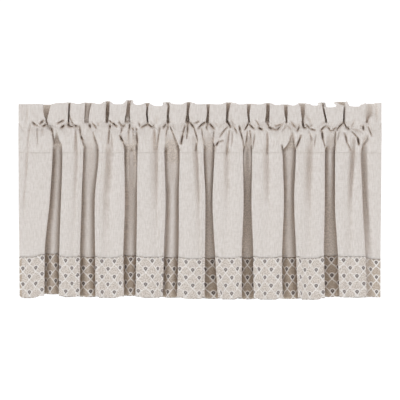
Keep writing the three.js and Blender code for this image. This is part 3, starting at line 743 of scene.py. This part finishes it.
def build_heading():
    """The face of the heading, turned over the top edge, and the layer behind it."""
    cols = columns(1.0, 37)
    heights = np.concatenate([np.linspace(FRILL_TOP, 41, 10), np.arange(40, 14, -1.0),
                              np.linspace(14, HEADING_FOOT, 29)])
    grid, share, back, drawn = drawn_cloth(cols, heights)

    # The turn over the top edge, as a small half round of three more rows.
    turn = CLOTH + LAYER_GAP / 2
    turned = [grid[0] + [0, turn * (1 + math.cos(a)), turn * math.sin(a)] for a in (0.9, 1.7, 2.5)]
    outer = np.concatenate([np.array(turned), grid])
    outer_drawn = np.concatenate([0 * drawn[:3], drawn])
    rows = [0, 0, 0, *range(len(heights))]
    inner, picked = behind(outer, outer_drawn, CLOTH, 3)
    inner[0] = outer[0][picked[1].ravel()] - np.array([0, 0, 0.5])
    across, down = thread_lines(outer, back[rows], 0.5)
    # Painted shade inside the folds, the puckers and the valley tops, darkening the colour there.
    painted_shade = painted_shade_amount(back[rows], outer_drawn, 0.6) + painted_valley_top_shade(cols, share, heights)[rows]
    face_piece = closed_sheet("heading_face", outer, inner, picked, across, down, painted_shade,
                              "heading")

    # The layer behind: stitched to the face in the frill and along both lines, and hanging
    # behind the rod between them.
    near, picked = behind(grid, drawn, CLOTH + LAYER_GAP, 2)
    level = heights[picked[0].ravel()][:, None]
    loose = smoothstep((GATHER_LINE - 1 - level) / 9) * smoothstep((level - STITCH_LINE - 2) / 9)
    small = wander(SEED + 5, near[..., 0], near[..., 2], 9, 40)
    hanging = near.copy()
    hanging[..., 1] = BEHIND_ROD + 3 * share[picked[1].ravel()] + 1.1 * small
    near = near + (hanging - near) * loose[..., None]
    near[0, :, 2] -= 0.8
    far, coarse = behind(near, 0 * near[..., 0], CLOTH, 2)
    across, down = thread_lines(near, near[..., 1])
    back_piece = closed_sheet("heading_back", near, far, coarse, across, down, 0 * across,
                              "heading")
    return face_piece, back_piece


def hem_line(cols, share, rounding):
    """Height of the hem at each column: lower in the middle of each front than at its edges,
    and rounded at its left end."""
    lift = np.append(np.where(IS_VALLEY, np.repeat(VALLEYS["lift"], 2)[:FOLDS], 0), 0)
    line = skirt_values(cols, [*VALLEYS["front_hem"], LAST_FRONT_HEM])
    bow = skirt_values(cols, HEM_BOWS)
    edge = np.exp(-(from_valley(cols) / 13) ** 2)
    first_width = 57
    from_left = first_width * np.where(~cols.fold & (cols.index == 0), cols.along, 1)
    corner = rounding * np.exp(-(from_left / 4) ** 2)
    line += share * lift[cols.index] + bow * edge * (1 - 0.5 * share)
    return line + corner - 0.4


def from_valley(cols):
    """For each column, how far it is from the nearest valley of the skirt, in millimetres."""
    edges = np.array([-375, *HEADING_FOLDS["foot_x"], 375])
    k = cols.index
    start, end = edges[k], edges[k + 1]
    x = np.where(cols.fold, end, start + (end - start) * cols.along)
    valleys = HEADING_FOLDS["foot_x"][IS_VALLEY]
    return np.min(abs(x[:, None] - valleys), axis=1)


def stretched(grid, heights, top, foot, top_line, foot_line):
    """The grid with its first and last rows moved to uneven edges, and the rest in proportion."""
    t = ((top - np.asarray(heights)) / (top - foot))[:, None]
    moved = grid.copy()
    moved[..., 2] += (1 - t) ** 3 * (top_line - top) + t ** 3 * (foot_line - foot)
    return moved


def print_phase(cols, row):
    """How many repeats of the print lie to the left of each point of one row across."""
    steps = np.linalg.norm(np.diff(row, axis=0), axis=1)
    run = np.concatenate([[0], np.cumsum(steps)])
    shown = ~cols.fold | (abs(row[:, 1] - FRONT_Y) < 24)
    places = [run[np.argmin(np.where(shown, abs(row[:, 0] - x), 999))] for x in PRINT_ANCHORS]
    phase = [0]
    for gap in np.diff(places):
        phase.append(phase[-1] + max(1, round(gap / REPEAT)))
    far = 100
    places = [places[0] - far * REPEAT, *places, places[-1] + far * REPEAT]
    return np.interp(run, places, [-far, *phase, phase[-1] + far])


def build_skirt():
    """The panel below the heading, and the band sewn to its foot."""
    cols = columns(1.2, 31)
    top = HEADING_FOOT + TUCK
    crowded = top + (-80 - top) * np.linspace(0, 1, 20) ** 1.15
    heights = np.concatenate([crowded, np.linspace(-86, BAND_SEAM, 22)])
    grid, share, back, drawn = drawn_cloth(cols, heights)
    # Its first rows are tucked behind the foot of the heading.
    grid[..., 1] += 1.1 * smoothstep((heights - HEADING_FOOT + 2.5) / 3)[:, None]
    seam = hem_line(cols, share, 0) + BAND_HEIGHT - skirt_values(cols, SEAM_DROPS)
    grid = stretched(grid, heights, heights[0], BAND_SEAM, heights[0], seam)
    across, down = thread_lines(grid, back)
    inner, picked = behind(grid, drawn, CLOTH, 2)
    # Painted shade inside the folds, the puckers and the valley tops, darkening the colour there.
    painted_shade = painted_shade_amount(back, drawn, 0.5) + painted_valley_top_shade(cols, share, heights)
    panel = closed_sheet("panel_cloth", grid, inner, picked, across, down, painted_shade,
                         "panel")

    heights = np.linspace(BAND_SEAM, HEM, 24)
    grid, share, back, drawn = drawn_cloth(cols, heights)
    hem = hem_line(cols, share, HEM_CORNER)
    grid = stretched(grid, heights, BAND_SEAM, HEM, seam - 0.1, hem)
    drop = grid[0, :, 2] - grid[..., 2]
    down = drop * BAND_HEIGHT / drop[-1]
    phase = print_phase(cols, grid[3])[None, :] * np.ones(grid.shape[:2])
    grid = grid - 0.4 * normals(grid)
    inner, picked = behind(grid, drawn, 1.3, 2)
    # Painted shade over the band's right and left ends, which hang a little back, as well as inside
    # its folds and puckers.
    right_end_painted_shade = 0.26 * smoothstep((grid[..., 0] - 346) / 6)
    left_end_painted_shade = 0.3 * smoothstep((-367 - grid[..., 0]) / 3)
    painted_shade = np.maximum(painted_shade_amount(back, drawn, 0.6), np.maximum(right_end_painted_shade, left_end_painted_shade))
    band = closed_sheet("border_cloth", grid, inner, picked, phase * REPEAT, down, painted_shade,
                        "border_band")
    return panel, band


# The materials.

def add_node(tree, kind, inputs, **settings):
    """A new node. Each of the named inputs is linked to a socket or set to a plain value."""
    node = tree.nodes.new("ShaderNode" + kind)
    for name, value in settings.items():
        setattr(node, name, value)
    for slot, value in inputs.items():
        if isinstance(value, bpy.types.NodeSocket):
            tree.links.new(value, node.inputs[slot])
        else:
            node.inputs[slot].default_value = value
    return node


class Field:
    """A number in a material that varies over the cloth, with ordinary arithmetic."""

    def __init__(self, tree, socket):
        self.tree, self.socket = tree, socket

    def math(self, operation, *others):
        values = [v.socket if isinstance(v, Field) else v for v in (self, *others)]
        node = add_node(self.tree, "Math", dict(enumerate(values)), operation=operation)
        return Field(self.tree, node.outputs[0])

    __add__ = partialmethod(math, "ADD")
    __sub__ = partialmethod(math, "SUBTRACT")
    __mul__ = partialmethod(math, "MULTIPLY")
    square = partialmethod(math, "POWER", 2.0)
    root = partialmethod(math, "SQRT")
    wave = partialmethod(math, "SINE")
    part = partialmethod(math, "FRACT")
    size = partialmethod(math, "ABSOLUTE")
    larger = partialmethod(math, "MAXIMUM")

    def ramp(self, start, end):
        """0 below start and 1 above end, with a soft step between."""
        inputs = {"Value": self.socket, "From Min": start, "From Max": end}
        node = add_node(self.tree, "MapRange", inputs, interpolation_type="SMOOTHSTEP")
        return Field(self.tree, node.outputs["Result"])


def new_material(name, roughness, sheen):
    """A cloth material, and the fields of its thread coordinates in millimetres."""
    material = bpy.data.materials.new(name)
    material.use_nodes = True
    tree = material.node_tree
    shader = tree.nodes["Principled BSDF"]
    for slot, value in (("Roughness", roughness), ("Specular IOR Level", 0.15),
                        ("Sheen Weight", sheen), ("Sheen Roughness", 0.6)):
        shader.inputs[slot].default_value = value
    uv = add_node(tree, "UVMap", {}, uv_map="Cloth")
    split = add_node(tree, "SeparateXYZ", {0: uv.outputs["UV"]})
    return material, tree, shader, Field(tree, split.outputs[0]), Field(tree, split.outputs[1])


def speckle(across, down, scale_across, scale_down, detail=2.0):
    """Noise from 0 to 1 over the cloth, with its own scale along each set of threads."""
    tree, scaled = across.tree, (across * scale_across, down * scale_down)
    joined = add_node(tree, "CombineXYZ", {0: scaled[0].socket, 1: scaled[1].socket})
    inputs = {"Vector": joined.outputs[0], "Scale": 1.0, "Detail": detail}
    return Field(tree, add_node(tree, "TexNoise", inputs, noise_dimensions="2D").outputs["Fac"])


def blend(share, first, second):
    """A colour between two, each a colour or a socket."""
    first, second = ((*c, 1) if isinstance(c, tuple) else c for c in (first, second))
    inputs = {"Factor": share.socket, 6: first, 7: second}
    return add_node(share.tree, "Mix", inputs, data_type="RGBA").outputs[2]


def painted_shade_mask(tree, start, end):
    """The mask of painted shade, from 0 on the fronts to 1 inside the folds and the tight puckers."""
    node = add_node(tree, "Attribute", {}, attribute_name="painted_shade")
    return Field(tree, node.outputs["Fac"]).ramp(start, end)


def weave(shader, across, down):
    """The bump of a plain weave with slubs, and the slubs along each set of threads."""
    warp = (across * (2 * math.pi / THREAD)).wave()
    weft = (down * (2 * math.pi / THREAD)).wave()
    upright = speckle(across, down, 1.1, 0.05)
    level = speckle(across, down, 0.06, 1.2)
    height = warp * weft * 0.35 + (upright + level) * 1.3
    tree, inputs = across.tree, {"Strength": 0.5, "Distance": 0.25 * MM, "Height": height.socket}
    tree.links.new(add_node(tree, "Bump", inputs).outputs[0], shader.inputs["Normal"])
    return upright, level


def linen(name):
    """Pale slubbed linen, with painted shade that makes it darker and browner inside the folds and
    the tight puckers.
    """
    material, tree, shader, across, down = new_material(name, 0.9, 0.1)
    upright, level = weave(shader, across, down)
    heather = speckle(across, down, 0.3, 0.12, 3.0)
    threads = (upright * 0.45 + level * 0.25 + heather * 0.3).ramp(0.36, 0.62)
    cloth = blend(threads, LINEN_DEEP, LINEN_PALE)
    # Painted shade: a darker, browner mottle inside the folds, and a painted crease shade in the
    # deepest folds and tight puckers.
    flecks = speckle(across, down, 0.42, 0.3, 3.0).ramp(0.36, 0.64)
    shaded = blend(flecks, LINEN_PAINTED_SHADE_DEEP, LINEN_PAINTED_SHADE)
    cloth = blend(painted_shade_mask(tree, 0.1, 0.6) * 0.75, cloth, shaded)
    cloth = blend(painted_shade_mask(tree, 0.4, 1.15) * 0.9, cloth, LINEN_PAINTED_CREASE_SHADE)
    tree.links.new(cloth, shader.inputs["Base Color"])
    return material


def printed(name):
    """The band's print. Pale lines run down from the foot of each motif to the feet of its two
    neighbours half a drop below, and each motif is a dark bud in a pale kite with a round top."""
    material, tree, shader, across, down = new_material(name, 0.88, 0.08)
    weave(shader, across, down)
    rough = (speckle(across, down, 0.9, 0.9, 3.0) - 0.5) * 1.6

    # Distance from the axis of the nearest motif, and height above its foot.
    rows_down = (down - FIRST_ROW - BUD_HEIGHT) * (1 / ROW) + 100
    t = rows_down.part()
    odd = ((rows_down - t + 0.25).math("FLOOR") * 0.5).part()
    repeat = (across * (1 / REPEAT) + odd + 1000.5).part()
    from_axis = ((repeat - 0.5).size() * -1 + 0.5) * REPEAT
    up = t * -ROW + ROW

    def away_from(middle):
        return (from_axis.square() + (up - middle).square()).root()

    arch = (t * 0.5 + (t * math.pi).wave() * 0.06) * REPEAT
    line = ((from_axis * -1 + REPEAT / 2 - arch).size() + rough).ramp(*LINE_FADE)
    sides = (from_axis - up * 0.55) + rough * 0.5
    crown = (away_from(CROWN) + rough * 0.5).ramp(*CROWN_FADE)
    kite = (sides.ramp(0.9, 0.1) * up.ramp(8.6, 8.0)).larger(crown)
    dome = (away_from(DOME) + rough * 0.35).ramp(*DOME_FADE)
    point = (from_axis - (up - 2.9) * 0.66 + rough * 0.35).ramp(0.5, -0.2) * up.ramp(9.0, 8.4)
    heart = (away_from(HEART) + rough).ramp(*HEART_FADE)
    bud = dome.larger(point) * (heart * 0.3 + 0.65)

    mottle = speckle(across, down, 0.42, 0.42, 4.0).ramp(0.34, 0.66)
    field = blend(mottle, FIELD_DEEP, FIELD_PALE)
    # Painted shade: inside the folds the field and the buds are painted darker, and the pale lines
    # take their own shaded colour.
    inside = painted_shade_mask(tree, 0.08, 0.35)
    field = blend(inside, field, blend(mottle, FIELD_PAINTED_SHADE_DEEP, FIELD_PAINTED_SHADE_PALE))
    cream = blend(inside, blend(mottle, CREAM_DEEP, CREAM_PALE), CREAM_PAINTED_SHADE)
    drawn = blend(line.larger(kite), field, cream)
    drawn = blend(bud, drawn, blend(inside, BUD, BUD_PAINTED_SHADE))

    # The broken lines of stitches and thread ends along the seam and the hem.
    dashes = speckle(across, down, 0.11, 0.005, 2.0).ramp(0.36, 0.56)
    dashes = dashes * ((across * (1 / DASH)).part() - 0.5).size().ramp(0.40, 0.30)
    edge = (down + rough * 0.5).ramp(1.4, 0.8) * dashes
    lower = speckle(across, down, 0.16, 0.005, 2.0).ramp(0.46, 0.54)
    foot = (down + rough * 0.5).ramp(BAND_HEIGHT - 2.2, BAND_HEIGHT - 1.4) * lower
    drawn = blend(edge * 0.75 + foot * 0.55, drawn, EDGE_DASH)
    tree.links.new(drawn, shader.inputs["Base Color"])
    return material


# The room.

def build_camera():
    """Face on, a little above, with a long lens."""
    distance, elevation = 6.0, math.radians(3)
    width_seen = 0.828
    target = Vector((0, -0.015, -0.12645))
    data = bpy.data.cameras.new("camera")
    data.sensor_width = SENSOR
    data.lens = SENSOR * distance / width_seen
    camera = bpy.data.objects.new("camera", data)
    bpy.context.scene.collection.objects.link(camera)
    away = Vector((0, -math.cos(elevation), math.sin(elevation)))
    camera.location = target + distance * away
    camera.rotation_euler = away.to_track_quat("Z", "Y").to_euler()
    bpy.context.scene.camera = camera


def build_world():
    """Soft light from all round, less from straight in front, on a white background."""
    world = bpy.data.worlds.new("studio")
    world.use_nodes = True
    tree = world.node_tree
    soft = tree.nodes["Background"]
    plain = add_node(tree, "Background", {"Strength": 1.1, "Color": (1, 1, 1, 1)})
    place = add_node(tree, "TexCoord", {})
    split = add_node(tree, "SeparateXYZ", {0: place.outputs["Generated"]})
    x, y, z = (Field(tree, socket) for socket in split.outputs)
    level = (x.square() + y.square() + 0.0001).root()
    ahead = (y * -1).math("DIVIDE", level)
    front = ahead.ramp(0.6, 0.93)
    tree.links.new(blend(front, SIDE_TINT, FRONT_TINT), soft.inputs["Color"])
    all_round = front * (FRONT_LIGHT - SIDE_LIGHT) + SIDE_LIGHT
    more_from_left = x * -0.12 + 1
    less_from_above = z.ramp(0.55, 0.95) * -0.5 + 1
    strength = all_round * more_from_left * less_from_above
    tree.links.new(strength.socket, soft.inputs["Strength"])
    seen = add_node(tree, "LightPath", {}).outputs["Is Camera Ray"]
    mix = add_node(tree, "MixShader", {"Fac": seen, 1: soft.outputs[0], 2: plain.outputs[0]})
    tree.links.new(mix.outputs[0], tree.nodes["World Output"].inputs["Surface"])
    bpy.context.scene.world = world


def build_room():
    """The studio's light, and a plain pale floor well below the cloth."""
    scene = bpy.context.scene
    scene.view_settings.view_transform = "Standard"
    build_world()

    mesh = bpy.data.meshes.new("floor")
    a = 12
    corners = [(x, y, FLOOR) for x, y in ((-a, -a), (a, -a), (a, a), (-a, a))]
    mesh.from_pydata(corners, [], [(0, 1, 2, 3)])
    floor = bpy.data.objects.new("floor", mesh)
    scene.collection.objects.link(floor)
    pale = bpy.data.materials.new("pale_floor")
    pale.use_nodes = True
    shader = pale.node_tree.nodes["Principled BSDF"]
    shader.inputs["Base Color"].default_value = (0.95, 0.95, 0.95, 1)
    shader.inputs["Roughness"].default_value = 0.9
    mesh.materials.append(pale)


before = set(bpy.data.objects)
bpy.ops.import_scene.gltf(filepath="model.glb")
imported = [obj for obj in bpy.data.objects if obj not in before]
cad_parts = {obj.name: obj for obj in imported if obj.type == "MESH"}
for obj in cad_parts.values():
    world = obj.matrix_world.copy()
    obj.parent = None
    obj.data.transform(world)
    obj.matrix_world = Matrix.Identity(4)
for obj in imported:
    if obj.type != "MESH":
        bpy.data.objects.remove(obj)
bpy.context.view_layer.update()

build_camera()
build_room()
heading_face, heading_back = build_heading()
panel, band = build_skirt()

pale_linen = linen("pale_linen")
for piece in (heading_face, heading_back, panel):
    piece.data.materials.append(pale_linen)
band.data.materials.append(printed("trellis_print"))
